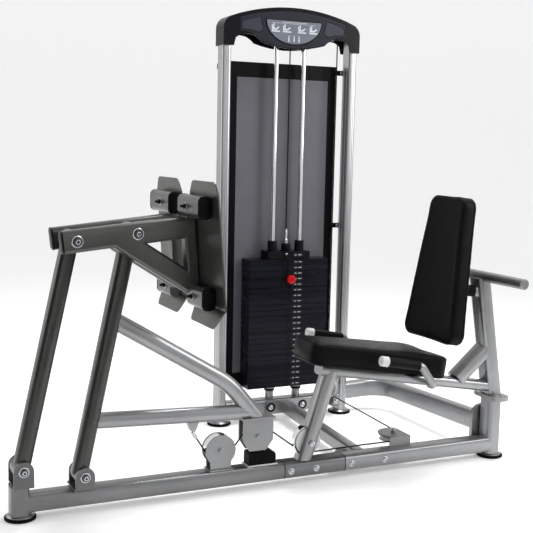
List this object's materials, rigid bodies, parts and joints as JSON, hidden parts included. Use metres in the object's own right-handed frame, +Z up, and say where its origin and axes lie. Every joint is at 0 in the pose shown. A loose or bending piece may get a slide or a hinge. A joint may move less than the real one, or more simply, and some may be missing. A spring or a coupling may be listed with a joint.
{
  "type": "seated leg press machine",
  "caption": "Seated leg press: reclined seat on a low rail, foot plates on a swinging four-bar carriage, and a cable over wheels to a pin-selected weight stack in a covered tower.",
  "frame": {"origin": "on the floor under the centre of the front foot, at the foot-plate end of the base rail", "axes": "+X along the base rail from the foot-plate end to the seat end, +Y from the rail towards the weight tower, +Z up"},
  "size_m": [1.983, 1.1688, 1.815],
  "materials": {
    "black_plastic": "matt",
    "black_steel": "black satin paint",
    "cable_black": "black cable sheath",
    "chrome": "polished",
    "cover_plastic": "satin moulded",
    "foam_grip": "matt textured",
    "grey_paint": "satin metallic powder coat, darker",
    "pulley_nylon": "moulded nylon",
    "red_plastic": "gloss",
    "rubber": "matt moulded",
    "silver_paint": "satin metallic powder coat",
    "smoked_panel": "smoked semi-gloss",
    "upright_silver": "satin anodised",
    "vinyl": "satin grained vinyl",
    "zinc": "zinc plated"
  },
  "bodies": {
    "frame": {"back_brace": "silver_paint", "back_pad": "vinyl", "back_post": "silver_paint", "base_crossmember": "grey_paint", "base_pulley_bracket": "grey_paint", "cover_placard": "smoked_panel", "cross_beam": "grey_paint", "curved_beam": "grey_paint", "drive_cable": "cable_black", "far_grip": "foam_grip", "front_clevis": "grey_paint", "front_foot": "rubber", "front_lower_bolt": "zinc", "front_rail": "silver_paint", "handle_bar": "black_steel", "left_guide_rod": "chrome", "left_tower_foot": "rubber", "left_upright": "upright_silver", "middle_rail": "silver_paint", "near_grip": "foam_grip", "post_flange": "silver_paint", "rear_clevis": "grey_paint", "rear_foot": "rubber", "rear_lower_bolt": "zinc", "rear_rail": "silver_paint", "rear_shroud": "black_plastic", "resting_plates": "black_steel", "right_guide_rod": "chrome", "right_tower_foot": "rubber", "right_upright": "upright_silver", "seat_pad": "vinyl", "seat_plate": "black_steel", "seat_post": "silver_paint", "seat_tube": "silver_paint", "stack_cable": "cable_black", "stop_bumper": "rubber", "top_cover": "cover_plastic", "top_crossmember": "black_steel", "turn_pulley_bracket": "grey_paint"},
    "arm": {"rear_link": "silver_paint", "arm_tube": "silver_paint", "arm_brace": "silver_paint", "arm_pulley_bracket": "grey_paint"},
    "front_link": {"front_link": "silver_paint"},
    "carriage": {"carriage_frame": "grey_paint", "near_foot_plate": "black_steel", "far_foot_plate": "black_steel", "front_upper_bolt": "zinc", "rear_upper_bolt": "zinc"},
    "weight_stack": {"head_plate": "black_steel", "lifted_plates": "black_steel", "cable_fitting": "chrome"},
    "selector_pin": {"selector_pin": "red_plastic"},
    "base_wheel": {"base_pulley": "pulley_nylon"},
    "arm_wheel": {"arm_pulley": "pulley_nylon"},
    "seat_post_wheel": {"seat_post_pulley": "pulley_nylon"},
    "turn_wheel": {"turn_pulley": "pulley_nylon"},
    "tower_wheel": {"tower_pulley": "pulley_nylon"},
    "left_top_wheel": {"left_top_pulley": "pulley_nylon"},
    "right_top_wheel": {"right_top_pulley": "pulley_nylon"}
  },
  "joints": [
    {"name": "arm_pivot", "type": "hinge", "parent": "frame", "child": "arm", "pos_m": [0.2041, 0, 0.1284], "axis": [0, -1, 0], "range_deg": [0, 26], "deforming": ["drive_cable"]},
    {"name": "front_link_pivot", "type": "hinge", "parent": "frame", "child": "front_link", "pos_m": [0.0043, 0, 0.1707], "axis": [0, -1, 0], "range_deg": [0, 29]},
    {"name": "carriage_pivot", "type": "hinge", "parent": "arm", "child": "carriage", "pos_m": [0.366, 0, 0.9355], "axis": [0, -1, 0], "range_deg": [-27, 0]},
    {"name": "stack_lift", "type": "slide", "parent": "frame", "child": "weight_stack", "axis": [0, 0, 1], "range_m": [0, 0.71], "deforming": ["stack_cable"]},
    {"name": "pin_slide", "type": "slide", "parent": "weight_stack", "child": "selector_pin", "axis": [0, -1, 0], "range_m": [0, 0.09]},
    {"name": "base_wheel_spin", "type": "hinge", "parent": "frame", "child": "base_wheel", "pos_m": [0.6956, 0, 0.1571], "axis": [0, 1, 0], "range_deg": [0, 260]},
    {"name": "arm_wheel_spin", "type": "hinge", "parent": "arm", "child": "arm_wheel", "pos_m": [0.8375, 0, 0.1929], "axis": [0, -1, 0], "range_deg": [0, 550]},
    {"name": "seat_post_wheel_spin", "type": "hinge", "parent": "frame", "child": "seat_post_wheel", "pos_m": [1.046, 0, 0.15], "axis": [0, 1, 0], "range_deg": [0, 900]},
    {"name": "turn_wheel_spin", "type": "hinge", "parent": "frame", "child": "turn_wheel", "pos_m": [1.457, 0.062, 0.1045], "axis": [0, 0, -1], "range_deg": [0, 810]},
    {"name": "tower_wheel_spin", "type": "hinge", "parent": "frame", "child": "tower_wheel", "pos_m": [1.56, 0.76, 0.139], "axis": [-1, 0, 0], "range_deg": [0, 900]},
    {"name": "left_top_wheel_spin", "type": "hinge", "parent": "frame", "child": "left_top_wheel", "pos_m": [1.368, 0.805, 1.735], "axis": [0, 1, 0], "range_deg": [0, 1010]},
    {"name": "right_top_wheel_spin", "type": "hinge", "parent": "frame", "child": "right_top_wheel", "pos_m": [1.52, 0.805, 1.735], "axis": [0, 1, 0], "range_deg": [0, 1010]}
  ],
  "couplings": [
    {"joint": "front_link_pivot", "follows": "arm_pivot", "ratio": 1.0834},
    {"joint": "carriage_pivot", "follows": "arm_pivot", "ratio": -1.0127},
    {"joint": "stack_lift", "follows": "arm_pivot", "m_per_rad": 1.546},
    {"joint": "base_wheel_spin", "follows": "arm_pivot", "ratio": 9.7},
    {"joint": "arm_wheel_spin", "follows": "arm_pivot", "ratio": 20.85},
    {"joint": "seat_post_wheel_spin", "follows": "arm_pivot", "ratio": 34.36},
    {"joint": "turn_wheel_spin", "follows": "arm_pivot", "ratio": 30.92},
    {"joint": "tower_wheel_spin", "follows": "arm_pivot", "ratio": 34.36},
    {"joint": "left_top_wheel_spin", "follows": "arm_pivot", "ratio": 38.65},
    {"joint": "right_top_wheel_spin", "follows": "arm_pivot", "ratio": 38.65}
  ]
}
